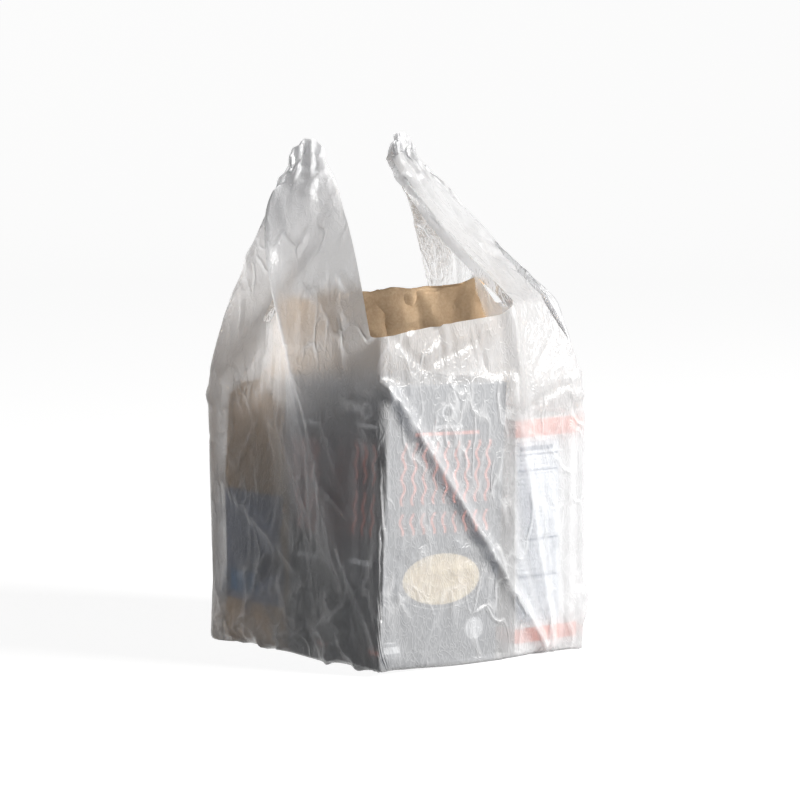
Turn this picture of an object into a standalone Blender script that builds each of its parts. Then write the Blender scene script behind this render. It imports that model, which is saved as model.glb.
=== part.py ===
"""A filled vest-style plastic carrier bag on a floor: the film bag and the groceries that hold it up.

World frame in metres: +Z up, +Y towards the back of the bag, the near panel faces -Y.
The bag is one tube of film: a folded base, a mouth cut out of the front and back, and two handle loops.
"""

import math

import bpy
import bmesh
import numpy as np
from mathutils import Matrix, Vector

# ---------------------------------------------------------------- driving dimensions
FILM_WALL = 0.0006  # drawn wall of the film; the real film is about 0.02 mm
BODY_WIDTH = 0.1930  # along X, outside the film at the base
BODY_DEPTH = 0.2130  # along Y
CORNER_RADIUS = 0.0035
MOUTH_HEIGHT = 0.2480  # middle of the mouth's edge
MOUTH_PEAK = 0.0150  # how far the strap roots stand above it
MOUTH_WIDTH = 0.1260  # straight edge of the mouth cut
STRAP_FOLD = 0.0750  # from a strap's mouth edge to its fold
SLOT_WIDTH = 0.0150  # cut between the front and the back strap of one handle
HANDLE_TOP = 0.3860
LEFT_TOP = (-0.0900, 0.0020)  # x, y of the left handle's crown
RIGHT_TOP = (0.0230, 0.0080)
CROWN_WIDTH = 0.0460  # the gathered film at a handle's crown
CROWN_GAP = 0.0100  # between the outer and the inner layer of the folded strap
BASE_GAP = 0.0004  # clearance under and between touching pieces

CARTON_WIDTH = 0.1090
CARTON_DEPTH = 0.0510
CARTON_HEIGHT = 0.2080
CARTON_EDGE = 0.0008
WHITE_WIDTH = 0.0610
WHITE_DEPTH = 0.1180
WHITE_HEIGHT = 0.1780
FLAP_STEP = 0.0004

SACK_WIDTH = 0.1540
SACK_DEPTH = 0.0830
SACK_SHOULDER = 0.1900
ROLL_LENGTH = 0.1740
ROLL_THICK = 0.0160

# ---------------------------------------------------------------- scene
for old in list(bpy.data.objects):
    bpy.data.objects.remove(old)
for old in list(bpy.data.materials):
    bpy.data.materials.remove(old)

PARTS = bpy.data.collections.new("carrier_bag_filled")
CUTTERS = bpy.data.collections.new("cutters")
bpy.context.scene.collection.children.link(PARTS)
bpy.context.scene.collection.children.link(CUTTERS)


def material(name, colour, roughness, alpha=1.0):
    """A Principled material of its own for one sub-part."""
    made = bpy.data.materials.new(name)
    made.use_nodes = True
    shader = made.node_tree.nodes["Principled BSDF"]
    shader.inputs["Base Color"].default_value = (*colour, 1.0)
    shader.inputs["Roughness"].default_value = roughness
    shader.inputs["Alpha"].default_value = alpha
    made.diffuse_color = (*colour, alpha)
    return made


def add_object(name, mesh, shade, collection=PARTS):
    made = bpy.data.objects.new(name, mesh)
    collection.objects.link(made)
    if shade:
        made.data.materials.append(shade)
    return made


def smooth(value):
    """A ramp from 0 to 1 with level ends."""
    value = min(max(value, 0.0), 1.0)
    return value * value * (3.0 - 2.0 * value)


# ---------------------------------------------------------------- film bag
HALF_X = BODY_WIDTH / 2 - FILM_WALL / 2
HALF_Y = BODY_DEPTH / 2 - FILM_WALL / 2
SIDE_X = 2 * HALF_X
SIDE_Y = 2 * HALF_Y
PERIMETER = 4 * (HALF_X + HALF_Y)
HALF_ROUND = PERIMETER / 2


def rim_point(along, half_x, half_y, radius):
    """A point on a rounded rectangle; along runs from the near left corner, first down the near side."""
    along = along % PERIMETER
    if along < SIDE_X:
        sharp = (-HALF_X + along, -HALF_Y)
    elif along < SIDE_X + SIDE_Y:
        sharp = (HALF_X, -HALF_Y + along - SIDE_X)
    elif along < 2 * SIDE_X + SIDE_Y:
        sharp = (HALF_X - (along - SIDE_X - SIDE_Y), HALF_Y)
    else:
        sharp = (-HALF_X, HALF_Y - (along - 2 * SIDE_X - SIDE_Y))
    sharp = (sharp[0] * half_x / HALF_X, sharp[1] * half_y / HALF_Y)
    inner_x = min(max(sharp[0], radius - half_x), half_x - radius)
    inner_y = min(max(sharp[1], radius - half_y), half_y - radius)
    out = Vector((sharp[0] - inner_x, sharp[1] - inner_y))
    out.normalize()
    return Vector((inner_x + out.x * radius, inner_y + out.y * radius)), out


# One half of the loop, as (distance from the near left corner, columns up to the next station).
# The other half is the same turned half a turn about Z.
STRAP_ROOT = 0.0040 + MOUTH_WIDTH
SLOT_NEAR = STRAP_ROOT + 2 * STRAP_FOLD
STATIONS = (
    (0.0040, 10),  # mouth edge, from the left strap's root
    (STRAP_ROOT, 6),  # right strap's root
    (SIDE_X, 7),  # near right corner
    (SLOT_NEAR, 2),  # near edge of the slot
    (SLOT_NEAR + SLOT_WIDTH, 12),  # far edge of the slot
    (HALF_ROUND, 1),  # far right corner
)
ALONG = []
marks = []
for turn in (0, 1):
    for index, (here, count) in enumerate(STATIONS):
        ahead = STATIONS[index + 1][0] if index + 1 < len(STATIONS) else STATIONS[0][0] + HALF_ROUND
        marks.append(len(ALONG))
        for step in range(count):
            ALONG.append(here + (ahead - here) * step / count + turn * HALF_ROUND)
COLUMNS = len(ALONG)
ROWS = 15

# Fold lines that run up from the bottom corners, as (corner, distance round at the mouth).
FOLDS = (
    (0.0, -STRAP_FOLD * 0.85),
    (0.0, STRAP_FOLD * 0.80),
    (SIDE_X, SIDE_X - STRAP_FOLD * 0.55),
    (SIDE_X, SIDE_X + STRAP_FOLD * 0.60),
    (HALF_ROUND, HALF_ROUND - STRAP_FOLD * 0.85),
    (HALF_ROUND, HALF_ROUND + STRAP_FOLD * 0.60),
    (HALF_ROUND + SIDE_X, HALF_ROUND + SIDE_X - STRAP_FOLD * 0.55),
    (HALF_ROUND + SIDE_X, HALF_ROUND + SIDE_X + STRAP_FOLD * 0.60),
)
FOLD_HALF_WIDTH = 0.0130
FOLD_RISE = 0.0050


def fold_at(along, share):
    """How far the film stands out on the fold lines at a distance round and a share of the height."""
    rise = 0.0
    for corner, mouth in FOLDS:
        line = corner + (mouth - corner) * share
        away = abs((along - line + HALF_ROUND) % PERIMETER - HALF_ROUND)
        rise = max(rise, 1.0 - away / FOLD_HALF_WIDTH)
    return rise * FOLD_RISE * smooth(share * 2.2)


def rim_height(column):
    """The top of the body at a column: low in the mouth, peaked where a strap leaves it."""
    for turn in (0, 1):
        first = marks[turn * len(STATIONS)]
        span = STATIONS[0][1]
        if first <= column <= first + span:
            share = (column - first) / span
            return MOUTH_HEIGHT + MOUTH_PEAK * smooth(share) ** 3
    return MOUTH_HEIGHT + MOUTH_PEAK * 0.6


def body_point(column, row):
    share = row / ROWS
    spread = 0.0024 * math.sin(math.pi * min(share * 1.1, 1.0))
    point, out = rim_point(ALONG[column], HALF_X + spread, HALF_Y + spread + 0.0065 * share, CORNER_RADIUS)
    ripple = 0.0008 * (1 + math.sin(2.4 * column + 5.0 * share)) * smooth(share * 3)
    point += out * (fold_at(ALONG[column], share) + ripple)
    height = rim_height(column) * share + FILM_WALL / 2
    return Vector((point.x, point.y, height))


film = bmesh.new()
grid = {}
for row in range(ROWS + 1):
    for column in range(COLUMNS):
        grid[column, row] = film.verts.new(body_point(column, row))
for row in range(ROWS):
    for column in range(COLUMNS):
        after = (column + 1) % COLUMNS
        film.faces.new((grid[column, row], grid[after, row], grid[after, row + 1], grid[column, row + 1]))

# base: two rings inside the outline and a fan, flat on the floor
rings = [[grid[column, 0] for column in range(COLUMNS)]]
for scale in (0.72, 0.36):
    ring = []
    for vert in rings[0]:
        ring.append(film.verts.new((vert.co.x * scale, vert.co.y * scale, vert.co.z)))
    rings.append(ring)
for outer, inner in zip(rings, rings[1:]):
    for column in range(COLUMNS):
        after = (column + 1) % COLUMNS
        film.faces.new((outer[after], outer[column], inner[column], inner[after]))
centre = film.verts.new((0.0, 0.0, FILM_WALL / 2))
for column in range(COLUMNS):
    after = (column + 1) % COLUMNS
    film.faces.new((rings[2][after], rings[2][column], centre))


def handle_rows(near_columns, far_columns, crown, spread_way):
    """A folded strap from the near columns over the crown to the far ones, listed from mouth edge to slot."""
    steps = 18
    rows = [[grid[column, ROWS] for column in near_columns]]
    count = len(near_columns)
    for step in range(1, steps):
        share = step / steps
        row = []
        for index in range(count):
            across = index / (count - 1)
            start = grid[near_columns[index], ROWS].co
            end = grid[far_columns[index], ROWS].co
            folded = 1 - abs(2 * across - 1)
            inner = smooth((across - 0.42) / 0.16)
            top = Vector((
                crown[0] + spread_way * CROWN_WIDTH * (folded - 0.5),
                crown[1],
                HANDLE_TOP - FILM_WALL - CROWN_GAP * inner - 0.0100 * (1 - folded) ** 2,
            ))
            pleat = 0.0016 * math.sin(9.0 * across * math.pi)
            lift_near = Vector((start.x + (top.x - start.x) * 0.22, start.y * 0.86, start.z + 0.052))
            lift_far = Vector((end.x + (top.x - end.x) * 0.22, end.y * 0.86, end.z + 0.052))
            width = 0.015 + 0.003 * inner
            side = Vector((0.0, -width, 0.0)) if start.y < end.y else Vector((0.0, width, 0.0))
            if share <= 0.5:
                knots = (start, lift_near, top + side, top)
                at = share * 2
            else:
                knots = (top, top - side, lift_far, end)
                at = share * 2 - 1
            weights = ((1 - at) ** 3, 3 * at * (1 - at) ** 2, 3 * at * at * (1 - at), at ** 3)
            place = Vector((0.0, 0.0, 0.0))
            for knot, weight in zip(knots, weights):
                place += knot * weight
            place.x += pleat * math.sin(math.pi * share) * spread_way
            place.z += pleat * math.sin(math.pi * share)
            row.append(film.verts.new(place))
        rows.append(row)
    rows.append([grid[column, ROWS] for column in far_columns])
    for low, high in zip(rows, rows[1:]):
        for index in range(count - 1):
            film.faces.new((low[index], low[index + 1], high[index + 1], high[index]))


half = len(STATIONS)
right_near = [column % COLUMNS for column in range(marks[1], marks[3] + 1)]
right_far = [column % COLUMNS for column in range(marks[half], marks[4] - 1, -1)]
left_far = [column % COLUMNS for column in range(marks[half + 1], marks[half + 3] + 1)]
left_near = [column % COLUMNS for column in range(COLUMNS, marks[half + 4] - 1, -1)]
handle_rows(right_near, right_far, RIGHT_TOP, 1.0)
handle_rows(left_far, left_near, LEFT_TOP, -1.0)

bmesh.ops.recalc_face_normals(film, faces=film.faces)
film_mesh = bpy.data.meshes.new("carrier_bag")
film.to_mesh(film_mesh)
film.free()
bag = add_object("carrier_bag", film_mesh, material("film", (0.86, 0.87, 0.89), 0.35, 0.5))
wall = bag.modifiers.new("wall", "SOLIDIFY")
wall.thickness = FILM_WALL
wall.offset = 0.0
wall.use_even_offset = False


# ---------------------------------------------------------------- cartons
def box_mesh(name, low, high):
    mesh = bpy.data.meshes.new(name)
    shape = bmesh.new()
    bmesh.ops.create_cube(shape, size=1.0)
    size = Vector(high) - Vector(low)
    bmesh.ops.scale(shape, vec=size, verts=shape.verts)
    bmesh.ops.translate(shape, vec=(Vector(high) + Vector(low)) / 2, verts=shape.verts)
    shape.to_mesh(mesh)
    shape.free()
    return mesh


def carton(name, width, depth, height, place, lean, shade):
    """A closed card carton: the body, a tucked top flap and the glued strip down one edge."""
    body = add_object(name, box_mesh(name, (0, 0, 0), (width, depth, height)), shade)
    round_edges = body.modifiers.new("edges", "BEVEL")
    round_edges.width = CARTON_EDGE
    round_edges.segments = 2
    inset = 0.0012
    bite = 0.0010
    raised = height + FLAP_STEP
    pieces = (
        ("_flap", (inset, inset, height - bite), (width - inset, depth * 0.93, raised)),
        ("_tuck", (inset, depth * 0.97, height - bite), (width - inset, depth - inset, raised)),
        ("_strip", (width - bite, depth * 0.80, 0.004), (width + FLAP_STEP, depth - inset, height - 0.004)),
    )
    for ending, low, high in pieces:
        piece = box_mesh(name + ending, low, high)
        helper = add_object(piece.name, piece, None, CUTTERS)
        helper.hide_render = True
        helper.display_type = "WIRE"
        join = body.modifiers.new(piece.name, "BOOLEAN")
        join.operation = "UNION"
        join.solver = "EXACT"
        join.object = helper
        helper.parent = body
    turn = Matrix.Rotation(lean[0], 4, "Y") @ Matrix.Rotation(lean[1], 4, "X")
    corners = [turn @ Vector((x, y, 0)) for x in (0, width + FLAP_STEP) for y in (0, depth)]
    lift = FILM_WALL + BASE_GAP - min(corner.z for corner in corners)
    body.matrix_world = Matrix.Translation((place[0], place[1], lift)) @ turn
    return body


slate = material("noodle_card", (0.20, 0.23, 0.30), 0.55)
slate_rear = material("noodle_card_rear", (0.20, 0.23, 0.30), 0.55)
white = material("white_card", (0.78, 0.79, 0.80), 0.5)
carton("noodle_carton_front", CARTON_WIDTH, CARTON_DEPTH, CARTON_HEIGHT,
       (-0.0945, -0.1040), (math.radians(2.1), math.radians(1.1)), slate)
carton("noodle_carton_rear", CARTON_WIDTH, CARTON_DEPTH, CARTON_HEIGHT,
       (-0.0945, -0.0420), (math.radians(1.0), 0.0), slate_rear)
carton("white_carton", WHITE_WIDTH, WHITE_DEPTH, WHITE_HEIGHT,
       (0.0335, -0.1035), (0.0, 0.0), white)

# ---------------------------------------------------------------- kraft sack with its top folded over
SACK_LEFT = -0.0940
SACK_NEAR = 0.0190
ROLL_CENTRE = Vector((0.0010, 0.0180))
ROLL_TURN = math.radians(-14.0)  # the folded top lies across the bag
ROLL_CLIMB = 0.075  # it rises towards the open end
RING = 32


def sack_ring(height, width, depth, centre, turn, square, climb):
    """A ring of points on a rounded rectangle: square near 0 gives an ellipse, near 1 a rectangle."""
    points = []
    power = 2.0 / (2.0 + 8.0 * square)
    for index in range(RING):
        angle = 2 * math.pi * (index + 0.5) / RING
        across = math.copysign(abs(math.cos(angle)) ** power, math.cos(angle)) * width / 2
        deep = math.copysign(abs(math.sin(angle)) ** power, math.sin(angle)) * depth / 2
        x = centre.x + across * math.cos(turn) - deep * math.sin(turn)
        y = centre.y + across * math.sin(turn) + deep * math.cos(turn)
        points.append(Vector((x, y, height + climb * across)))
    return points


body_centre = Vector((SACK_LEFT + SACK_WIDTH / 2, SACK_NEAR + SACK_DEPTH / 2))
floor = FILM_WALL + BASE_GAP
roll_low = 0.2250
roll_top = 0.2740
rings = [
    sack_ring(floor, SACK_WIDTH - 0.006, SACK_DEPTH - 0.006, body_centre, 0.0, 0.9, 0.0),
    sack_ring(floor + 0.004, SACK_WIDTH, SACK_DEPTH, body_centre, 0.0, 0.9, 0.0),
    sack_ring(0.060, SACK_WIDTH - 0.003, SACK_DEPTH - 0.002, body_centre, 0.0, 0.9, 0.0),
    sack_ring(0.120, SACK_WIDTH, SACK_DEPTH - 0.001, body_centre, 0.0, 0.85, 0.0),
    sack_ring(0.165, SACK_WIDTH - 0.004, SACK_DEPTH - 0.004, body_centre, 0.0, 0.8, 0.0),
]
shoulder_centre = body_centre + Vector((0, 0.010))
rings.append(sack_ring(
    SACK_SHOULDER, SACK_WIDTH - 0.006, SACK_DEPTH - 0.030, shoulder_centre, -0.02, 0.6, 0.0))
for share in (0.35, 0.7, 1.0):
    ease = smooth(share)
    rings.append(sack_ring(
        SACK_SHOULDER + (roll_low - SACK_SHOULDER) * share,
        (SACK_WIDTH - 0.006) * (1 - ease) + ROLL_LENGTH * ease,
        (SACK_DEPTH - 0.030) * (1 - ease) + 0.0110 * ease,
        shoulder_centre * (1 - ease) + ROLL_CENTRE * ease,
        ROLL_TURN * ease, 0.6, ROLL_CLIMB * ease))
ROLL_SHAPE = ((0.10, 1.0, 1.0), (0.35, 1.15, 1.0), (0.65, 1.05, 1.0), (0.88, 0.85, 0.99), (1.0, 0.35, 0.97))
for share, thick, wide in ROLL_SHAPE:
    rings.append(sack_ring(
        roll_low + (roll_top - roll_low) * share, ROLL_LENGTH * wide, ROLL_THICK * thick,
        ROLL_CENTRE, ROLL_TURN, 0.7, ROLL_CLIMB))

sack_form = bmesh.new()
loops = [[sack_form.verts.new(point) for point in ring] for ring in rings]
for low, high in zip(loops, loops[1:]):
    for index in range(RING):
        after = (index + 1) % RING
        sack_form.faces.new((low[index], low[after], high[after], high[index]))
sack_form.faces.new(list(reversed(loops[0])))
sack_form.faces.new(loops[-1])
bmesh.ops.recalc_face_normals(sack_form, faces=sack_form.faces)
sack_mesh = bpy.data.meshes.new("kraft_sack")
sack_form.to_mesh(sack_mesh)
sack_form.free()
sack = add_object("kraft_sack", sack_mesh, material("kraft_paper", (0.48, 0.33, 0.20), 0.8))

# the open end of the folded top
pocket_mesh = box_mesh("roll_pocket", (-0.010, -0.0045, -0.016), (0.010, 0.0045, 0.014))
pocket = add_object("roll_pocket", pocket_mesh, None, CUTTERS)
pocket.hide_render = True
pocket.display_type = "WIRE"
end = ROLL_LENGTH / 2
pocket.matrix_world = (
    Matrix.Translation((
        ROLL_CENTRE.x + end * math.cos(ROLL_TURN),
        ROLL_CENTRE.y + end * math.sin(ROLL_TURN),
        (roll_low + roll_top) / 2 + ROLL_CLIMB * end,
    ))
    @ Matrix.Rotation(ROLL_TURN, 4, "Z")
)
cut = sack.modifiers.new("open_end", "BOOLEAN")
cut.operation = "DIFFERENCE"
cut.solver = "EXACT"
cut.object = pocket

# ---------------------------------------------------------------- origin at the bottom centre
bpy.context.view_layer.update()
corners = [bag.matrix_world @ Vector(corner) for corner in bag.bound_box]
middle_x = (min(corner.x for corner in corners) + max(corner.x for corner in corners)) / 2
middle_y = (min(corner.y for corner in corners) + max(corner.y for corner in corners)) / 2
shift = Matrix.Translation((-middle_x, -middle_y, 0.0))
for made in list(PARTS.objects) + [pocket]:
    made.matrix_world = shift @ made.matrix_world
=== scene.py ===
"""The looks of a filled vest-style plastic carrier bag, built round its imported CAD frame."""

import math

import bmesh
import bpy
import numpy as np
from mathutils import Matrix, Vector
from mathutils.bvhtree import BVHTree


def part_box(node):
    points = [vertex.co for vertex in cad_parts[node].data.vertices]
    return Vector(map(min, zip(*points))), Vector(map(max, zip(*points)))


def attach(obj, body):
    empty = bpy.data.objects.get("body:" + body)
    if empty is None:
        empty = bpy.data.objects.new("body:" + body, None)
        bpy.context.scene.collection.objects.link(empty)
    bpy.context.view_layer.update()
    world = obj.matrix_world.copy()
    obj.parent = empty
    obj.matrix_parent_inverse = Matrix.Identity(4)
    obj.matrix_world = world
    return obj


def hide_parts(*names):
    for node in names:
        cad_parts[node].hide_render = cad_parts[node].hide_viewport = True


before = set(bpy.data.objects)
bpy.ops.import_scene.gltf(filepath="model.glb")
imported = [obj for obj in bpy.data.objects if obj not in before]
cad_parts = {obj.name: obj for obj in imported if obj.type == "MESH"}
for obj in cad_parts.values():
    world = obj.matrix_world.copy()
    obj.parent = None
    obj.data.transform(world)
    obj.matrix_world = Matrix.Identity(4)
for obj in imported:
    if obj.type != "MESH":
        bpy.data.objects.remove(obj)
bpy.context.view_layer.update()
rng = np.random.default_rng(7)

SHIFT_X = -sum(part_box("carrier_bag")[i][0] for i in (0, 1)) / 2
BODY = {name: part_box(name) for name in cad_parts}

# ------------------------------------------------------------------ film pattern, in metres
PANEL = 0.292  # flat width of the bag
GUSSET = 0.165  # both folds of one side
STRAP = 0.075  # flat width of a handle
SLOT = 0.0075  # half the cut between the two straps of a handle
RISE = 0.250  # from the base's edge to the mouth
TOP = 0.424  # from the base's edge to the end of the handles
UNDER = 0.036  # film drawn under the contents
PERIMETER = 2 * (PANEL + GUSSET)
FOLD = PANEL / 2
MOUTH = FOLD - STRAP
QUARTER = ((MOUTH, 36), (STRAP, 36), (STRAP, 36), (SLOT, 4))
BASE_ROWS, BODY_ROWS, STRAP_ROWS, SEAL_ROWS = 8, 120, 80, 4
RIM = BASE_ROWS + BODY_ROWS
ROWS = RIM + STRAP_ROWS
SEAL = ROWS - SEAL_ROWS + 1  # first row of the weld


def column_positions():
    """Distance round the tube of each column, from the middle of the near panel towards +X."""
    quarter = [0.0]
    for length, count in QUARTER:
        quarter += [quarter[-1] + length / count * (i + 1) for i in range(count)]
    quarter = np.array(quarter)
    half = np.concatenate([quarter, PERIMETER / 2 - quarter[-2::-1]])
    return np.concatenate([half, PERIMETER - half[-2:0:-1]])


S = column_positions()
COLS = len(S)
Q = COLS // 4
C_MOUTH, C_FOLD, C_SLOT = 36, 72, 108
STRAPS = {  # first and last column of each strap
    "near_right": (C_MOUTH, C_SLOT),
    "far_right": (2 * Q - C_SLOT, 2 * Q - C_MOUTH),
    "far_left": (2 * Q + C_MOUTH, 2 * Q + C_SLOT),
    "near_left": (COLS - C_SLOT, COLS - C_MOUTH),
}
HANDED = np.where(S > PERIMETER - FOLD, S - PERIMETER, S)  # from the near left fold, growing towards +X
# film pulled up from under the base, by place round the tube
LIFT_S = (-FOLD, -MOUTH, 0.0, 0.85 * MOUTH, MOUTH, FOLD, PERIMETER / 4, PERIMETER / 2 - FOLD, 0.42, PERIMETER - FOLD)
LIFT = np.interp(HANDED, LIFT_S, (0.0, -0.001, 0.006, 0.010, 0.018, 0.018, 0.014, 0.010, 0.0, 0.0))

ROW = np.arange(ROWS + 1)
LEVEL = np.interp(ROW, (0, BASE_ROWS, RIM, ROWS), (-UNDER, 0.0, RISE, TOP))
T = LEVEL[:, None] + LIFT[None, :] * np.clip(ROW / RIM, 0, 1)[:, None]
ACTIVE = np.zeros((ROWS + 1, COLS), bool)
ACTIVE[: RIM + 1] = True
CELLS = np.zeros((ROWS, COLS), bool)
CELLS[:RIM] = True
for first, last in STRAPS.values():
    ACTIVE[RIM:, first : last + 1] = True
    CELLS[RIM:, first:last] = True

# ------------------------------------------------------------------ what the film wraps


def carton_frame(node):
    """Centre, axes and half sizes of a carton, leaned as the CAD has it."""
    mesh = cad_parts[node].data
    points = np.array([v.co[:] for v in mesh.vertices])
    normals = np.array([p.normal[:] for p in mesh.polygons])
    areas = np.array([p.area for p in mesh.polygons])
    axes = []
    for axis in np.eye(3):
        along = normals @ axis
        near = along > 0.97
        way = (normals[near] * areas[near][:, None]).sum(axis=0)
        axes.append(way / np.linalg.norm(way))
    axes = np.array(axes)
    spread = points @ axes.T
    middle = (spread.min(axis=0) + spread.max(axis=0)) / 2
    return middle @ axes, axes, (spread.max(axis=0) - spread.min(axis=0)) / 2


CARTONS = [carton_frame(n) for n in ("noodle_carton_front", "noodle_carton_rear", "white_carton")]


def carton_distance(points, carton):
    centre, axes, half = carton
    local = (points - centre) @ axes.T
    away = np.abs(local) - half
    outside = np.maximum(away, 0.0)
    length = np.linalg.norm(outside, axis=-1)
    worst = away.argmax(axis=-1)
    inside = np.take_along_axis(away, worst[..., None], -1)[..., 0]
    is_out = length > 0
    way = np.where(is_out[..., None], outside / np.maximum(length, 1e-9)[..., None], np.eye(3)[worst])
    way = (way * np.where(local < 0, -1.0, 1.0)) @ axes
    return np.where(is_out, length, inside), way


GRID_STEP = 0.005


def distance_grid(mesh_object):
    """Signed distances to a closed mesh on a box of points round it."""
    tree = BVHTree.FromPolygons(
        [v.co[:] for v in mesh_object.data.vertices], [p.vertices[:] for p in mesh_object.data.polygons]
    )
    points = np.array([v.co[:] for v in mesh_object.data.vertices])
    start = points.min(axis=0) - 0.030
    count = np.ceil((points.max(axis=0) + 0.030 - start) / GRID_STEP).astype(int) + 1
    values = np.zeros(count)
    for i in range(count[0]):
        for j in range(count[1]):
            for k in range(count[2]):
                spot = Vector(start + np.array((i, j, k)) * GRID_STEP)
                near, normal, _, away = tree.find_nearest(spot)
                values[i, j, k] = away if (spot - near).dot(normal) >= 0 else -away
    return start, values


def grid_distance(points, grid):
    start, values = grid
    size = np.array(values.shape)
    at = (points - start) / GRID_STEP
    cell = np.clip(np.floor(at).astype(int), 0, size - 2)
    frac = np.clip(at - cell, 0.0, 1.0)
    beyond = np.linalg.norm((at - cell - frac) * GRID_STEP, axis=-1)
    i, j, k = cell[..., 0], cell[..., 1], cell[..., 2]
    x, y, z = frac[..., 0], frac[..., 1], frac[..., 2]
    v000, v100 = values[i, j, k], values[i + 1, j, k]
    v010, v110 = values[i, j + 1, k], values[i + 1, j + 1, k]
    v001, v101 = values[i, j, k + 1], values[i + 1, j, k + 1]
    v011, v111 = values[i, j + 1, k + 1], values[i + 1, j + 1, k + 1]
    x00, x10 = v000 + (v100 - v000) * x, v010 + (v110 - v010) * x
    x01, x11 = v001 + (v101 - v001) * x, v011 + (v111 - v011) * x
    dx = ((v100 - v000) * (1 - y) + (v110 - v010) * y) * (1 - z) + ((v101 - v001) * (1 - y) + (v111 - v011) * y) * z
    dy = (x10 - x00) * (1 - z) + (x11 - x01) * z
    y0, y1 = x00 + (x10 - x00) * y, x01 + (x11 - x01) * y
    way = np.stack([dx, dy, y1 - y0], axis=-1)
    way /= np.maximum(np.linalg.norm(way, axis=-1, keepdims=True), 1e-9)
    return y0 + (y1 - y0) * z + beyond, way


SACK_GRID = distance_grid(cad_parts["kraft_sack"])


def contents_distance(points):
    """Distance to the nearest piece inside the bag, and the way out of it."""
    best, way = grid_distance(points, SACK_GRID)
    for carton in CARTONS:
        away, out = carton_distance(points, carton)
        nearer = away < best
        best = np.where(nearer, away, best)
        way = np.where(nearer[..., None], out, way)
    return best, way


# ------------------------------------------------------------------ the film's first shape
HX, HY = 0.0958, 0.1058  # half sizes of the body's outline
SIDE_X, SIDE_Y = 2 * HX, 2 * HY
ROUND = 2 * (SIDE_X + SIDE_Y)
CORNER = 0.006
OFFSET = np.array((np.mean([BODY["noodle_carton_front"][0][0], BODY["white_carton"][1][0]]), -0.0001))
TAPER_TOP = 0.190  # above this height the film leans in to the handles


def outline(along):
    """A point on the body's outline and its outward way; along runs from the near left corner to +X."""
    along = np.asarray(along) % ROUND
    turns = (0.0, SIDE_X, SIDE_X + SIDE_Y, 2 * SIDE_X + SIDE_Y, ROUND)
    x = np.interp(along, turns, (-HX, HX, HX, -HX, -HX))
    y = np.interp(along, turns, (-HY, -HY, HY, HY, -HY))
    sharp = np.stack([x, y], axis=-1)
    core = np.clip(sharp, (-HX + CORNER, -HY + CORNER), (HX - CORNER, HY - CORNER))
    out = sharp - core
    out /= np.maximum(np.linalg.norm(out, axis=-1, keepdims=True), 1e-9)
    return core + out * CORNER + OFFSET, out


# Stations round the tube: the cut edges, the folds and the slots. For each, its distance round the
# outline at the base and at the mouth, how far it stands out of the outline and how far it leans in.
STATIONS = (
    (-FOLD, -0.003, -0.083, 0.027, 0.0),
    (-MOUTH, 0.012, -0.006, 0.001, 0.0),
    (0.0, 0.086, 0.056, 0.0, 0.0),
    (0.85 * MOUTH, 0.142, 0.111, 0.0, 0.001),
    (MOUTH, 0.152, 0.122, 0.006, 0.0),
    (1.15 * MOUTH, 0.158, 0.131, 0.0, 0.006),
    (FOLD, SIDE_X + 0.003, 0.200, 0.001, 0.026),
    (PERIMETER / 4, SIDE_X + SIDE_Y / 2, 0.252, 0.0, 0.034),
    (PERIMETER / 2 - FOLD, SIDE_X + SIDE_Y - 0.003, 0.300, 0.003, 0.026),
    (PERIMETER / 2 - MOUTH, SIDE_X + SIDE_Y + 0.028, 0.372, 0.002, 0.006),
    (PERIMETER / 2 + MOUTH, 2 * SIDE_X + SIDE_Y - 0.028, 0.514, 0.001, 0.0),
    (PERIMETER / 2 + FOLD, 2 * SIDE_X + SIDE_Y + 0.003, 0.592, 0.006, 0.014),
    (3 * PERIMETER / 4, 2 * SIDE_X + 1.5 * SIDE_Y, 0.655, 0.002, 0.012),
    (PERIMETER - FOLD, ROUND - 0.003, ROUND - 0.083, 0.027, 0.0),
)
KEY = np.array(STATIONS).T


def body_place(rows, s):
    """Distance round the outline, stand and lean of points of the film's body."""
    share = np.clip((LEVEL[rows] / RISE), 0, 1)[:, None]
    low, high = np.interp(s, KEY[0], KEY[1]), np.interp(s, KEY[0], KEY[2])
    along = low + (high - low) * share
    stand = np.interp(s, KEY[0], KEY[3]) * share
    lean = np.interp(s, KEY[0], KEY[4]) * np.clip((share * RISE - TAPER_TOP) / (RISE - TAPER_TOP), 0, 1) ** 1.3
    return along, stand, lean


def first_shape():
    place = np.zeros((ROWS + 1, COLS, 3))
    rows = np.arange(RIM + 1)
    along, stand, lean = body_place(rows, HANDED)
    flat, out = outline(along)
    under = np.clip(-LEVEL[rows], 0, None)[:, None, None]
    swell = 0.0012 + 0.003 * np.sin(math.pi * np.clip(LEVEL[rows] / RISE, 0, 1))[:, None]
    shrink = 1 - under / np.array((HX, HY))
    flat = (flat - OFFSET) * shrink + OFFSET
    flat += out * (swell + stand - lean)[..., None] * (under == 0)
    place[: RIM + 1, :, :2] = flat
    place[: RIM + 1, :, 2] = np.where(LEVEL[rows][:, None] >= 0, T[: RIM + 1] * 0.995 + 0.0006, 0.0005)
    return place


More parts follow.
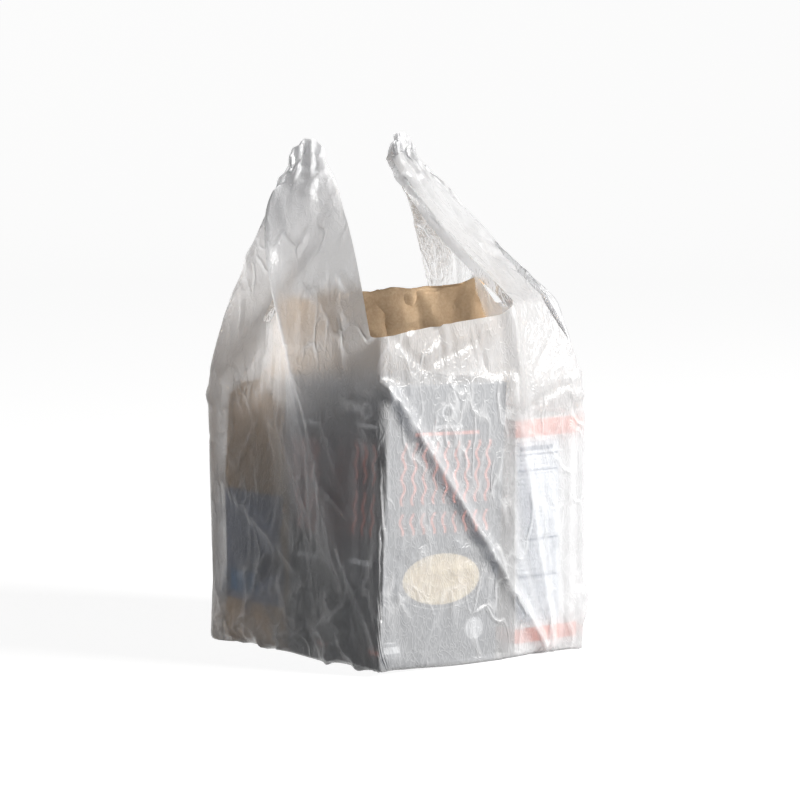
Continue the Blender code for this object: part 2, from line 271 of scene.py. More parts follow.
# ridges of the film, each from one end to the other as (distance round the outline, height),
# then how high it stands and half its width
FRONT_END = SIDE_X - 0.031
RIDGES = [
    ((-0.002, 0.222), (0.070, 0.128), 0.0070, 0.0085),
    ((0.066, 0.133), (FRONT_END, 0.003), 0.0075, 0.0075),
    ((0.121, 0.272), (0.124, 0.190), 0.0080, 0.0110),
    ((0.124, 0.200), (FRONT_END + 0.004, 0.003), 0.0065, 0.0090),
    ((0.112, 0.120), (FRONT_END + 0.002, 0.004), 0.0026, 0.0050),
    ((0.146, 0.150), (FRONT_END + 0.006, 0.004), 0.0030, 0.0055),
    ((0.164, 0.110), (FRONT_END + 0.010, 0.003), 0.0035, 0.0060),
    ((0.180, 0.180), (SIDE_X - 0.012, 0.004), 0.0030, 0.0060),
    ((-0.216, 0.143), (-0.176, 0.116), 0.0055, 0.0085),
    ((-0.180, 0.118), (-0.096, 0.068), 0.0065, 0.0085),
    ((-0.100, 0.071), (-0.012, 0.004), 0.0060, 0.0080),
    ((-0.148, 0.227), (-0.190, 0.188), 0.0045, 0.0060),
    ((-0.120, 0.120), (-0.020, 0.004), 0.0040, 0.0060),
    ((SIDE_X + 0.012, 0.200), (SIDE_X + 0.075, 0.060), 0.0045, 0.0080),
    ((SIDE_X + 0.070, 0.070), (SIDE_X + 0.190, 0.004), 0.0045, 0.0080),
    ((SIDE_X + 0.110, 0.190), (SIDE_X + 0.204, 0.004), 0.0045, 0.0080),
    ((SIDE_X + 0.020, 0.120), (SIDE_X + 0.008, 0.004), 0.0035, 0.0070),
    ((-SIDE_Y - 0.030, 0.210), (-SIDE_Y - 0.150, 0.050), 0.0045, 0.0080),
    ((-SIDE_Y - 0.020, 0.120), (-SIDE_Y - 0.170, 0.004), 0.0045, 0.0075),
    ((-SIDE_Y - 0.120, 0.200), (-SIDE_Y - 0.184, 0.010), 0.0040, 0.0075),
]
RIDGES += [
    ((-SIDE_Y, -0.010), (-SIDE_Y, 0.255), 0.0105, 0.0260),
    ((SIDE_X, -0.010), (SIDE_X, 0.230), 0.0045, 0.0180),
    ((SIDE_X + 0.002, 0.022), (SIDE_X + 0.002, 0.050), 0.0110, 0.0120),
]
for _ in range(34):  # loose film crumpled over the foot of the left side
    middle, height = rng.uniform(-0.200, -0.030), rng.uniform(0.003, 0.052)
    turn, reach = rng.uniform(0.2, 2.6), rng.uniform(0.010, 0.026)
    step = np.array((math.cos(turn), math.sin(turn))) * reach
    RIDGES.append((
        (middle - step[0], max(0.002, height - step[1])), (middle + step[0], max(0.002, height + step[1])),
        rng.uniform(0.005, 0.0120), rng.uniform(0.006, 0.012)))


def ridge_stand(along, height):
    """How far the ridges hold the film off what is inside."""
    total = np.zeros(along.shape)
    for start, end, tall, half_width in RIDGES:
        start, end = np.array(start), np.array(end)
        length = np.linalg.norm(end - start)
        way = (end - start) / length
        dx = (along - start[0] + ROUND / 2) % ROUND - ROUND / 2
        dz = height - start[1]
        share = (dx * way[0] + dz * way[1]) / length
        aside = np.abs(dx * way[1] - dz * way[0]) / half_width
        ends = np.clip(np.minimum(share, 1 - share) * length / 0.012 + 0.6, 0, 1)
        total = np.maximum(total, tall * ends * np.clip(1 - aside, 0, 1) ** 0.8)
    return total


LEFT_CROWN = np.array((-0.0800, -0.0010, 0.3880))
RIGHT_CROWN = np.array((0.0190, 0.0120, 0.3905))
LEFT_TURN, RIGHT_TURN = math.radians(172.0), math.radians(28.0)
GATHER = 0.030  # width of a welded end
# where a strap's cut edge, fold and slot edge pass half way up, in plan
HALF_WAY = {
    "near_left": ((-0.078, -0.050), (-0.1135, 0.006), (-0.064, -0.010)),
    "far_left": ((-0.038, 0.056), (-0.0895, 0.043), (-0.066, 0.018)),
    "near_right": ((0.016, -0.0386), (0.0640, -0.0200), (0.034, 0.004)),
    "far_right": ((0.0547, 0.0465), (0.0780, 0.0060), (0.046, 0.006)),
}
HALF_HEIGHT = 0.325


def crown_spots(name, first, last):
    """The four rows of a strap's weld, pleated into a narrow band."""
    crown = LEFT_CROWN if "left" in name else RIGHT_CROWN
    turn = LEFT_TURN if "left" in name else RIGHT_TURN
    along = np.array((math.cos(turn), math.sin(turn), 0.0))
    across = np.array((-math.sin(turn), math.cos(turn), 0.0))
    across *= np.sign(across[1])
    side = -1.0 if "near" in name else 1.0
    columns = np.arange(first, last + 1)
    middle = (first + last) / 2
    fold_share = 1 - np.abs(columns - middle) / (last - middle)  # 0 at the cut edges, 1 at the fold
    on_panel = (columns < middle) == (name in ("near_right", "far_left"))
    layer = side * (0.0006 + 0.0014 * on_panel)
    wave = np.abs((fold_share * 7.0) % 2.0 - 1.0) * 2 - 1
    spots = []
    for k in range(SEAL_ROWS):
        drop = (SEAL_ROWS - 1 - k) * 0.0030
        spot = crown + np.outer((fold_share - 0.5) * GATHER, along)
        spot += np.outer(layer + wave * 0.0015, across)
        spot[:, 2] += -drop - 0.0110 * (np.abs(fold_share - 0.45) / 0.5) ** 1.6 + 0.0006 * wave
        spots.append(spot)
    return spots, wave, across


def straps_shape(place):
    """Each strap from the rim through its half way stations to the weld."""
    for name, (first, last) in STRAPS.items():
        spots, wave, across = crown_spots(name, first, last)
        for k, spot in enumerate(spots):
            place[SEAL + k, first : last + 1] = spot
        low, high = place[RIM, first : last + 1], spots[0]
        columns = np.arange(first, last + 1)
        middle = (first + last) / 2
        cut, fold, slot = (np.array((*spot, HALF_HEIGHT)) for spot in HALF_WAY[name])
        if name not in ("near_right", "far_left"):
            cut, slot = slot, cut
        half = np.array([np.interp(columns, (first, middle, last), (cut[i], fold[i], slot[i])) for i in range(3)]).T
        at_half = 0.5
        for r in range(RIM + 1, SEAL):
            u = (r - RIM) / (SEAL - RIM)
            w_low = (u - at_half) * (u - 1) / (at_half * 1)
            w_half = u * (u - 1) / (at_half * (at_half - 1))
            w_high = u * (u - at_half) / (1 - at_half)
            row = low * w_low + half * w_half + high * w_high
            pleat = 0.0015 * wave * math.exp(-(1 - u) / 0.30)
            row += np.outer(pleat, across)
            place[r, first : last + 1] = row
    return place


# ------------------------------------------------------------------ solver
def coarse(values, step):
    return values[::step, ::step]


def finer(values):
    """Grid of twice the resolution: rows end to end, columns round the tube."""
    rows, cols = values.shape[:2]
    wide = np.empty((rows, cols * 2) + values.shape[2:])
    wide[:, ::2] = values
    wide[:, 1::2] = (values + np.roll(values, -1, axis=1)) / 2
    tall = np.empty((rows * 2 - 1, cols * 2) + values.shape[2:])
    tall[::2] = wide
    tall[1::2] = (wide[1:] + wide[:-1]) / 2
    return tall


SKIN = 0.0007  # least distance of the film from what is inside
FLOOR = 0.0004
TAPER = 0.055
BEND = 0.04
PRESS = 0.10  # film resists being pushed together this much as hard as being pulled


class Film:
    """Position-based film on a grid that closes on itself sideways."""

    def __init__(self, step, place, design, stand):
        self.step = step
        self.design = design
        self.x = place.copy()
        self.old = place.copy()
        self.s = S[::step]
        self.t = coarse(T, step)
        self.on = coarse(ACTIVE, step)
        self.free = self.on.astype(float)
        self.free[[r for r in range(self.x.shape[0]) if r * step >= SEAL]] = 0.0
        self.free[0] = 0.0
        self.stand = SKIN + stand
        self.stretch, self.bends = [], []
        for parity in (True, False):
            self.stretch.append(self.link(1, 0, parity, True, 1.0))
            self.stretch.append(self.link(0, 1, True, parity, 1.0))
        for way in (1, -1):
            for parity in (True, False):
                self.stretch.append(self.link(1, way, parity, True, 0.35))
                self.stretch.append(self.link(1, way, parity, False, 0.35))
        for parity in (True, False):
            self.bends.append(self.link(2, 0, parity, True, BEND))
            self.bends.append(self.link(0, 2, True, parity, BEND))

    def link(self, dr, dc, parity_r, parity_c, stiff):
        """All links of one direction whose ends don't meet, as row and column index arrays."""
        rows, cols = self.on.shape
        r = np.arange(rows)
        if dr:
            r = r[:-dr]
            r = r[(r % (2 * dr) < dr) == parity_r]
        c = np.arange(cols)
        if dc:
            c = c[((c // abs(dc)) % 2 == 0) == parity_c]
        rr, cc = (grid.ravel() for grid in np.meshgrid(r, c, indexing="ij"))
        r2, c2 = rr + dr, (cc + dc) % cols
        keep = self.on[rr, cc] & self.on[r2, c2] & ~self.crosses(rr, cc, dr, dc)
        rr, cc, r2, c2 = rr[keep], cc[keep], r2[keep], c2[keep]
        ds = (self.s[c2] - self.s[cc] + PERIMETER / 2) % PERIMETER - PERIMETER / 2
        dt = self.t[r2, c2] - self.t[rr, cc]
        taper = 1.0 - TAPER * np.clip(1 - self.t[rr, cc] / 0.22, 0, 1) ** 1.3
        rest = np.sqrt((ds * taper) ** 2 + dt**2)
        designed = np.linalg.norm(self.design[r2, c2] - self.design[rr, cc], axis=1)
        least = np.minimum(rest, designed * 1.01)
        wa, wb = self.free[rr, cc], self.free[r2, c2]
        total = wa + wb
        keep = total > 0
        a = (rr * cols + cc)[keep]
        b = (r2 * cols + c2)[keep]
        wa, wb, total, rest, least = wa[keep], wb[keep], total[keep], rest[keep], least[keep]
        return a, b, (wa / total)[:, None] * stiff, (wb / total)[:, None] * stiff, rest[:, None], least[:, None]

    def crosses(self, r, c, dr, dc):
        """True where a link would bridge the mouth or a slot."""
        if dc == 0:
            return np.zeros(len(r), bool)
        high = np.maximum(r, r + dr) * self.step > RIM
        lo = np.minimum(c, c + dc) * self.step
        hi = np.maximum(c, c + dc) * self.step
        inside = np.zeros(len(r), bool)
        for first, last in STRAPS.values():
            inside |= (lo >= first) & (hi <= last)
        return high & ~inside

    def relax(self, links, only_press=False):
        x = self.x.reshape(-1, 3)
        for a, b, wa, wb, rest, least in links:
            d = x[b] - x[a]
            length = np.sqrt((d * d).sum(axis=1, keepdims=True))
            pressed = np.minimum(length - least, 0.0)
            off = pressed if only_press else np.maximum(length - rest, 0.0) + pressed * PRESS
            move = d * (off / np.maximum(length, 1e-9))
            x[a] += move * wa
            x[b] -= move * wb

    def run(self, steps, gravity, hug, damp, grip, anchor, hold):
        held = (self.free * hold * np.interp(self.t, (0.16, 0.24), (0.15, 1.0)))[..., None]
        body = (self.t < RISE - 0.01) & (self.stand < 0.006)
        for step in range(steps):
            speed = (self.x - self.old) * damp
            self.old = self.x.copy()
            self.x += speed * self.free[..., None]
            self.x[..., 2] -= gravity * self.free
            if step % 2 == 0:
                away, out = contents_distance(self.x)
            pull = hug * np.clip((away - self.stand) / 0.004, 0, 1) * np.clip(1 - away / 0.05, 0, 1) * body
            self.x -= out * (pull * self.free)[..., None]
            self.x += (anchor - self.x) * held
            self.relax(self.stretch)
            self.relax(self.bends, only_press=True)
            away, out = contents_distance(self.x)
            near = (away < 0.03) | (self.stand < 0.002)
            depth = np.where(near, np.maximum(self.stand - away, 0.0), 0.0) * self.free
            self.x += out * depth[..., None]
            touch = (depth > 0)[..., None]
            moved = self.x - self.old
            moved -= out * (moved * out).sum(axis=-1, keepdims=True)
            self.x -= np.where(touch, moved * grip, 0.0)
            low = (self.x[..., 2] < FLOOR) & (self.free > 0)
            self.x[..., 2] = np.where(low, FLOOR, self.x[..., 2])
        return self.x


# step, rounds, gravity, hug, hold
PLAN = (
    (4, 160, 0.00003, 0.00014, 0.100),
    (2, 140, 0.00002, 0.00010, 0.070),
    (1, 110, 0.00001, 0.00006, 0.050),
)


def simulate_film():
    place = straps_shape(first_shape())
    along, stand, lean = body_place(np.arange(RIM + 1), HANDED)
    ridges = np.zeros((ROWS + 1, COLS))
    ridges[: RIM + 1] = np.maximum(ridge_stand(along, T[: RIM + 1]), stand * 0.8)
    ridges[:BASE_ROWS] = 0.0
    x = coarse(place, PLAN[0][0])
    for step, count, gravity, hug, hold in PLAN:
        pins = coarse(place, step)
        if x.shape != pins.shape:
            x = finer(x)
            fixed = (np.arange(x.shape[0]) * step >= SEAL) | (np.arange(x.shape[0]) == 0)
            x[fixed] = pins[fixed]
        film = Film(step, x, pins, coarse(ridges, step))
        x = film.run(count, gravity, hug, 0.97, 0.35, pins, hold)
        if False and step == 2:
            return finer(x)
    return x


def grid_normals(x):
    across = np.roll(x, -1, axis=1) - np.roll(x, 1, axis=1)
    up = np.empty_like(x)
    up[1:-1], up[0], up[-1] = x[2:] - x[:-2], x[1] - x[0], x[-1] - x[-2]
    normals = np.cross(across, up)
    return normals / np.maximum(np.linalg.norm(normals, axis=-1, keepdims=True), 1e-9)


def crinkled(x, creases=420):
    """Adds short sharp creases to the film, mostly running up and down it."""
    draw = np.random.default_rng(23)
    used = ACTIVE.copy()
    used[: BASE_ROWS + 2] = False
    points, normals = x[used], grid_normals(x)[used]
    away, _ = contents_distance(points)
    shift = np.zeros(len(points))
    for _ in range(creases):
        centre = draw.integers(len(points))
        facing = normals[centre]
        tilt = draw.normal(0, 0.45) + (math.pi / 2 if draw.random() < 0.12 else 0.0)
        level = np.cross((0.0, 0.0, 1.0), facing)
        level /= max(np.linalg.norm(level), 1e-9)
        line = math.cos(tilt) * np.cross(facing, level) + math.sin(tilt) * level
        offset = points - points[centre]
        along, side = offset @ line, offset @ np.cross(line, facing)
        reach, half_width = draw.uniform(0.010, 0.045), draw.uniform(0.0030, 0.0065)
        near = (np.abs(along) < reach) & (np.abs(side) < half_width) & (np.abs(offset @ facing) < 0.02)
        tall = draw.uniform(0.0005, 0.0019) * draw.choice((-1, 1))
        bend = 1 - np.abs(side[near]) / half_width
        shift[near] += tall * bend * np.clip(1.4 * (1 - np.abs(along[near]) / reach), 0, 1)
    free = np.clip((away - 0.001) / 0.006, 0, 1)
    shift = np.where(shift < 0, shift * free, shift * (0.35 + 0.65 * free))
    shift = np.maximum(shift, np.minimum(0.0, SKIN - away))
    x = x.copy()
    x[used] = points + normals * shift[:, None]
    x[..., 2] = np.maximum(x[..., 2], FLOOR)
    return x


def crease_share():
    """How whitened the film is at each point: along its factory folds and its stretched ridges."""
    along, _, _ = body_place(np.arange(RIM + 1), HANDED)
    ridges = np.zeros(ACTIVE.shape)
    ridges[: RIM + 1] = np.clip(ridge_stand(along, T[: RIM + 1]) / 0.006 - 0.60, 0, 1)
    fold = np.abs(np.minimum(S % (PERIMETER / 2), PERIMETER / 2 - S % (PERIMETER / 2)) - FOLD)
    return np.maximum(ridges, np.clip(1 - fold / 0.0035, 0, 1)[None, :])


def film_object(x):
    index = -np.ones(ACTIVE.shape, int)
    index[ACTIVE] = np.arange(ACTIVE.sum())
    r, c = np.nonzero(CELLS)
    c2 = (c + 1) % COLS
    faces = np.stack([index[r, c], index[r, c2], index[r + 1, c2], index[r + 1, c]], axis=1).tolist()
    # rings that close the base under the contents
    ring = x[0]
    centre = ring.mean(axis=0)
    points = [x[ACTIVE]]
    rings = [index[0]]
    count = len(points[0])
    for scale in (0.66, 0.33):
        points.append(centre + (ring - centre) * scale)
        rings.append(np.arange(count, count + COLS))
        count += COLS
    points = np.concatenate(points + [centre[None]])
    for c in range(COLS):
        n = (c + 1) % COLS
        for outer, inner in zip(rings, rings[1:]):
            faces.append([int(outer[n]), int(outer[c]), int(inner[c]), int(inner[n])])
        faces.append([int(rings[-1][n]), int(rings[-1][c]), count])
    mesh = bpy.data.meshes.new("film_bag")
    mesh.from_pydata(points.tolist(), [], faces)
    mesh.polygons.foreach_set("use_smooth", [True] * len(mesh.polygons))
    away, _ = contents_distance(points)
    gap = mesh.attributes.new("gap", "FLOAT", "POINT")
    gap.data.foreach_set("value", np.clip(away / 0.03, 0, 1).astype(np.float32))
    crease = mesh.attributes.new("crease", "FLOAT", "POINT")
    shown = np.zeros(len(points))
    shown[: ACTIVE.sum()] = crease_share()[ACTIVE]
    crease.data.foreach_set("value", shown.astype(np.float32))
    mesh.update()
    made = bpy.data.objects.new("film_bag", mesh)
    bpy.context.scene.collection.objects.link(made)
    return made


film_bag = film_object(crinkled(simulate_film()))
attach(film_bag, "root")
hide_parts("carrier_bag")


# ------------------------------------------------------------------ the kraft sack
def crumple(points, normals, folds, low, high, seed, inward=0.75, size=1.0):
    """Moves points along their normals by many short straight creases, as paper takes them."""
    draw = np.random.default_rng(seed)
    shift = np.zeros(len(points))
    for _ in range(folds):
        centre = draw.uniform(low, high)
        facing, along = draw.normal(size=3), draw.normal(size=3)
        facing /= np.linalg.norm(facing)
        half_width, reach = draw.uniform(0.006, 0.015) * size, draw.uniform(0.014, 0.040) * size
        tall = size * draw.uniform(0.0010, 0.0032) * (-1 if draw.random() < inward else 0.5)
        away = points - centre
        off = np.abs(away @ facing)
        far = np.linalg.norm(away - (away @ facing)[:, None] * facing, axis=1)
        shift += tall * np.clip(1 - off / half_width, 0, 1) * np.clip(1.3 * (1 - far / reach), 0, 1)
    return points + normals * shift[:, None]


def mesh_arrays(mesh):
    points = np.empty(len(mesh.vertices) * 3)
    mesh.vertices.foreach_get("co", points)
    normals = np.empty(len(mesh.vertices) * 3)
    mesh.vertex_normals.foreach_get("vector", normals)
    return points.reshape(-1, 3), normals.reshape(-1, 3)


def paper_sack():
    """The sack's own form, remeshed finely and crumpled."""
    work = bpy.data.objects.new("sack_work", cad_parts["kraft_sack"].data.copy())
    bpy.context.scene.collection.objects.link(work)
    remesh = work.modifiers.new("grain", "REMESH")
    remesh.mode = "VOXEL"
    remesh.voxel_size = 0.0024
    mesh = bpy.data.meshes.new_from_object(work.evaluated_get(bpy.context.evaluated_depsgraph_get()))
    bpy.data.objects.remove(work)
    mesh.name = "paper_sack"
    points, normals = mesh_arrays(mesh)
    low, high = points.min(axis=0), points.max(axis=0)
    points = crumple(points, normals, 150, low, high, 11)
    roll_low = np.array((low[0], low[1], 0.222))
    points = crumple(points, normals, 60, roll_low, np.array((high[0], high[1] * 0.5, high[2])), 5, 0.8, 1.5)
    mesh.vertices.foreach_set("co", points.ravel())
    mesh.polygons.foreach_set("use_smooth", [True] * len(mesh.polygons))
    mesh.materials.clear()
    mesh.update()
    made = bpy.data.objects.new("paper_sack", mesh)
    bpy.context.scene.collection.objects.link(made)
    return made


sack = paper_sack()
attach(sack, "root")
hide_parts("kraft_sack")


# ------------------------------------------------------------------ materials
def new_material(name):
    made = bpy.data.materials.new(name)
    made.use_nodes = True
    tree = made.node_tree
    for old in list(tree.nodes):
        tree.nodes.remove(old)
    return made, Nodes(tree), tree.nodes.new("ShaderNodeOutputMaterial")


class Nodes:
    """Short forms for building a material's nodes."""

    def __init__(self, tree):
        self.tree = tree

    def put(self, socket, value):
        if isinstance(value, bpy.types.NodeSocket):
            self.tree.links.new(value, socket)
        elif value is not None:
            socket.default_value = value

    def node(self, kind, inputs=None, **fields):
        made = self.tree.nodes.new(kind)
        for key, value in fields.items():
            setattr(made, key, value)
        for key, value in (inputs or {}).items():
            self.put(made.inputs[key], value)
        return made

    def math(self, kind, a, b=None, c=None, clamp=False):
        made = self.node("ShaderNodeMath", operation=kind, use_clamp=clamp)
        for socket, value in zip(made.inputs, (a, b, c)):
            self.put(socket, value)
        return made.outputs[0]

    def add(self, a, b):
        return self.math("ADD", a, b)

    def sub(self, a, b):
        return self.math("SUBTRACT", a, b)

    def mul(self, a, b):
        return self.math("MULTIPLY", a, b)

    def top(self, *masks):
        total = masks[0]
        for mask in masks[1:]:
            total = self.math("MAXIMUM", total, mask)
        return total

    def inside(self, value, limit, soft=0.0004):
        """1 where value is under limit, with a soft edge."""
        return self.math("MULTIPLY_ADD", self.sub(limit, value), 1 / soft, 0.5, clamp=True)

    def band(self, value, low, high, soft=0.0004):
        away = self.math("ABSOLUTE", self.sub(value, (low + high) / 2))
        return self.inside(away, (high - low) / 2, soft)

    def rect(self, u, v, u0, u1, v0, v1):
        return self.mul(self.band(u, u0, u1), self.band(v, v0, v1))

    def reach(self, u, v, u0, v0, squash=1.0):
        """Distance from a point, with v squashed to make ovals."""
        du = self.sub(u, u0)
        dv = self.mul(self.sub(v, v0), squash)
        return self.math("SQRT", self.add(self.mul(du, du), self.mul(dv, dv)))

    def dot(self, vector, axis):
        made = self.node("ShaderNodeVectorMath", operation="DOT_PRODUCT")
        self.put(made.inputs[0], vector)
        made.inputs[1].default_value = tuple(axis)
        return made.outputs["Value"]

    def blend(self, share, a, b):
        made = self.node("ShaderNodeMix", data_type="RGBA")
        self.put(made.inputs["Factor"], share)
        self.put(made.inputs["A"], a)
        self.put(made.inputs["B"], b)
        return made.outputs["Result"]

    def noise(self, vector, scale, detail=2.0, rough=0.5, kind="ShaderNodeTexNoise"):
        made = self.node(kind, {"Vector": vector, "Scale": scale, "Detail": detail, "Roughness": rough})
        return made.outputs[0]

    def stretch(self, vector, scale):
        made = self.node("ShaderNodeVectorMath", operation="MULTIPLY")
        self.put(made.inputs[0], vector)
        made.inputs[1].default_value = scale
        return made.outputs[0]

    def ramp(self, value, low, high, out_low=0.0, out_high=1.0):
        made = self.node("ShaderNodeMapRange", {
            "Value": value, "From Min": low, "From Max": high, "To Min": out_low, "To Max": out_high})
        return made.outputs[0]


def crease_lines(n, place, scale, width):
    """Thin meandering creases: edges of bent cells."""
    bend = n.node("ShaderNodeTexNoise", {"Vector": place, "Scale": scale * 0.7, "Detail": 2.0})
    mix = n.node("ShaderNodeMix", data_type="VECTOR")
    mix.inputs["Factor"].default_value = 0.06
    n.put(mix.inputs[4], place)
    n.put(mix.inputs[5], bend.outputs["Color"])
    cells = n.node("ShaderNodeTexVoronoi", {"Vector": mix.outputs[1], "Scale": scale}, feature="DISTANCE_TO_EDGE")
    return n.ramp(cells.outputs["Distance"], 0.0, width, 1.0, 0.0)


def film_material():
    made, n, out = new_material("film")
    place = n.node("ShaderNodeTexCoord").outputs["Object"]
    tall = n.stretch(place, (1.0, 1.0, 0.45))
    creases = crease_lines(n, tall, 42.0, 0.10)
    fine = crease_lines(n, tall, 120.0, 0.16)
    patches = n.ramp(n.noise(place, 22.0), 0.42, 0.62)
    height = n.add(n.mul(n.mul(creases, patches), 1.0), n.mul(fine, 0.22))
    height = n.add(height, n.mul(n.noise(tall, 260.0, 3.0, 0.6), 0.35))
    bump = n.node("ShaderNodeBump", {"Strength": 0.75, "Distance": 0.0009, "Height": height}).outputs[0]
    gap = n.node("ShaderNodeAttribute", attribute_name="gap").outputs["Fac"]

    clear = n.node("ShaderNodeBsdfTransparent", {"Color": (1, 1, 1, 1)})
    blurred = n.node("ShaderNodeBsdfRefraction", {"Color": (1, 1, 1, 1), "Roughness": 0.60, "IOR": 1.12})
    blur = n.ramp(gap, 0.06, 0.5, 0.0, 0.85)
    seen = n.node("ShaderNodeMixShader", {0: blur, 1: clear.outputs[0], 2: blurred.outputs[0]})
    milk = n.node("ShaderNodeBsdfPrincipled", {
        "Base Color": (0.80, 0.805, 0.82, 1), "Roughness": 0.34, "Specular IOR Level": 0.5, "Normal": bump})
    through = n.node("ShaderNodeBsdfTranslucent", {"Color": (0.84, 0.84, 0.85, 1), "Normal": bump})
    body = n.node("ShaderNodeMixShader", {0: n.ramp(gap, 0.0, 0.4, 0.12, 0.50), 1: milk.outputs[0], 2: through.outputs[0]})
    lines = n.add(n.mul(n.mul(creases, patches), 0.22), n.mul(fine, 0.07))
    cover = n.add(n.ramp(gap, 0.0, 0.5, 0.44, 0.70), lines)
    worn = n.node("ShaderNodeAttribute", attribute_name="crease").outputs["Fac"]
    cover = n.add(cover, n.mul(worn, 0.30))
    film = n.node("ShaderNodeMixShader", {0: cover, 1: seen.outputs[0], 2: body.outputs[0]})
    gloss = n.node("ShaderNodeBsdfGlossy", {"Color": (1, 1, 1, 1), "Roughness": 0.24, "Normal": bump})
    fresnel = n.node("ShaderNodeFresnel", {"IOR": 1.45, "Normal": bump}).outputs[0]
    whole = n.node("ShaderNodeMixShader", {0: n.mul(fresnel, 0.6), 1: film.outputs[0], 2: gloss.outputs[0]})
    n.put(out.inputs[0], whole.outputs[0])
    return made


film_bag.data.materials.append(film_material())

SLATE = (0.085, 0.100, 0.130, 1)
# the same slate print darkened as painted shade, for the carton's side, top and bottom faces
SLATE_PAINTED_SHADE = (0.050, 0.055, 0.068, 1)
SALMON = (0.80, 0.30, 0.25, 1)
CREAM = (0.80, 0.70, 0.50, 1)
PALE = (0.75, 0.77, 0.80, 1)


def waves(n, u, v, width, pitch, rows):
    """Upright wavy strokes in rows across a panel."""
    swing = n.mul(n.math("SINE", n.mul(v, 2 * math.pi / 0.016)), 0.0016)
    place = n.math("FRACT", n.add(n.math("DIVIDE", n.add(u, swing), pitch), 20.5))
    stroke = n.inside(n.mul(n.math("ABSOLUTE", n.sub(place, 0.5)), pitch), 0.0012)
    stroke = n.mul(stroke, n.band(u, -width, width))
    return n.mul(stroke, n.top(*[n.band(v, low, high) for low, high in rows]))


def rules(n, u, v, start, longest, pitch, thick):
    """Plain thin rules of uneven length, one under another."""
    row = n.math("FLOOR", n.math("DIVIDE", v, pitch))
    line = n.inside(n.mul(n.math("FRACT", n.math("DIVIDE", v, pitch)), pitch), thick, 0.0003)
    chance = n.node("ShaderNodeTexWhiteNoise", {"W": row}, noise_dimensions="1D").outputs["Value"]
    end = n.add(n.mul(chance, longest * 0.5), start + longest * 0.5)
    return n.mul(line, n.mul(n.inside(u, end), n.inside(start, u)))


def card(name, carton, paint, rough):
    """A printed card material: paint(n, u, v, w, face masks) gives its colour."""
    made, n, out = new_material(name)
    place = n.node("ShaderNodeTexCoord").outputs["Object"]
    centre, axes, half = carton
    moved = n.node("ShaderNodeVectorMath", {0: place}, operation="SUBTRACT")
    moved.inputs[1].default_value = tuple(centre)
    u, w, v = (n.dot(moved.outputs[0], axis) for axis in axes)
    normal = n.node("ShaderNodeNewGeometry").outputs["Normal"]
    front = n.math("GREATER_THAN", n.math("ABSOLUTE", n.dot(normal, axes[1])), 0.6)
    side = n.math("GREATER_THAN", n.math("ABSOLUTE", n.dot(normal, axes[0])), 0.6)
    colour = paint(n, u, v, w, front, side)
    edges = [n.sub(limit, n.math("ABSOLUTE", value)) for value, limit in zip((u, w, v), half)]
    nearest = n.math("MINIMUM", n.math("MAXIMUM", edges[0], edges[1]), n.math("MAXIMUM", edges[1], edges[2]))
    nearest = n.math("MINIMUM", nearest, n.math("MAXIMUM", edges[0], edges[2]))
    grain = n.noise(place, 420.0, 3.0)
    worn = n.mul(n.inside(nearest, 0.0007, 0.0012), n.ramp(grain, 0.40, 0.62, 0.2, 0.9))
    colour = n.blend(n.mul(worn, 0.55), colour, (0.62, 0.60, 0.58, 1))
    dents = n.noise(place, 26.0, 2.0)
    height = n.add(n.mul(dents, 0.8), n.mul(grain, 0.06))
    bump = n.node("ShaderNodeBump", {"Strength": 0.4, "Distance": 0.0012, "Height": height}).outputs[0]
    rough_map = n.ramp(grain, 0.3, 0.7, rough - 0.06, rough + 0.08)
    shader = n.node("ShaderNodeBsdfPrincipled", {
        "Base Color": colour, "Roughness": rough_map, "Specular IOR Level": 0.4, "Normal": bump})
    n.put(out.inputs[0], shader.outputs[0])
    return made


def noodle_print(n, u, v, w, front, side):
    # faces other than front and back get the slate darkened as painted shade
    colour = n.blend(front, SLATE_PAINTED_SHADE, SLATE)
    wide = waves(n, u, v, 0.044, 0.0098, ((0.016, 0.062), (-0.006, 0.010)))
    dots = n.mul(n.band(v, 0.0665, 0.0690), n.band(u, -0.030, 0.030))
    narrow = waves(n, w, v, 0.016, 0.0107, ((0.030, 0.060), (-0.008, 0.024)))
    foot = n.rect(w, v, -0.026, -0.012, -0.0935, -0.0905)
    salmon = n.top(n.mul(front, n.top(wide, dots)), n.mul(side, n.top(narrow, foot)))
    oval = n.reach(u, v, 0.0, -0.040, 1.9)
    bowl = n.mul(n.inside(oval, 0.036), front)
    grains = n.noise(n.node("ShaderNodeCombineXYZ", {0: u, 1: v}).outputs[0], 140.0, 3.0)
    cream = n.blend(n.ramp(grains, 0.35, 0.65), CREAM, (0.62, 0.50, 0.32, 1))
    arc = n.mul(n.band(oval, 0.0415, 0.0425), n.inside(v, -0.047))
    ring = n.reach(u, v, 0.0, 0.0835)
    badge = n.top(n.inside(n.reach(u, v, 0.033, -0.079), 0.0085), n.rect(u, v, -0.051, -0.036, -0.0925, -0.0875))
    small = n.rect(u, v, -0.051, -0.040, -0.0850, -0.0838)
    head = n.top(n.band(ring, 0.0042, 0.0060), n.rect(u, v, -0.014, 0.014, 0.0715, 0.0738))
    side_ring = n.reach(w, v, 0.0, 0.0835)
    side_head = n.top(n.band(side_ring, 0.0042, 0.0060), n.rect(w, v, -0.012, 0.012, 0.0715, 0.0738))
    side_bar = n.rect(w, v, -0.013, 0.014, -0.0300, -0.0262)
    lines = n.mul(rules(n, w, v, -0.012, 0.024, 0.0052, 0.0009), n.band(v, -0.086, -0.036))
    pale = n.top(n.mul(front, n.top(arc, head, badge, small)), n.mul(side, n.top(side_head, side_bar)))
    colour = n.blend(salmon, colour, SALMON)
    colour = n.blend(bowl, colour, cream)
    colour = n.blend(n.mul(n.mul(lines, side), 0.45), colour, PALE)
    return n.blend(n.mul(pale, 0.85), colour, PALE)


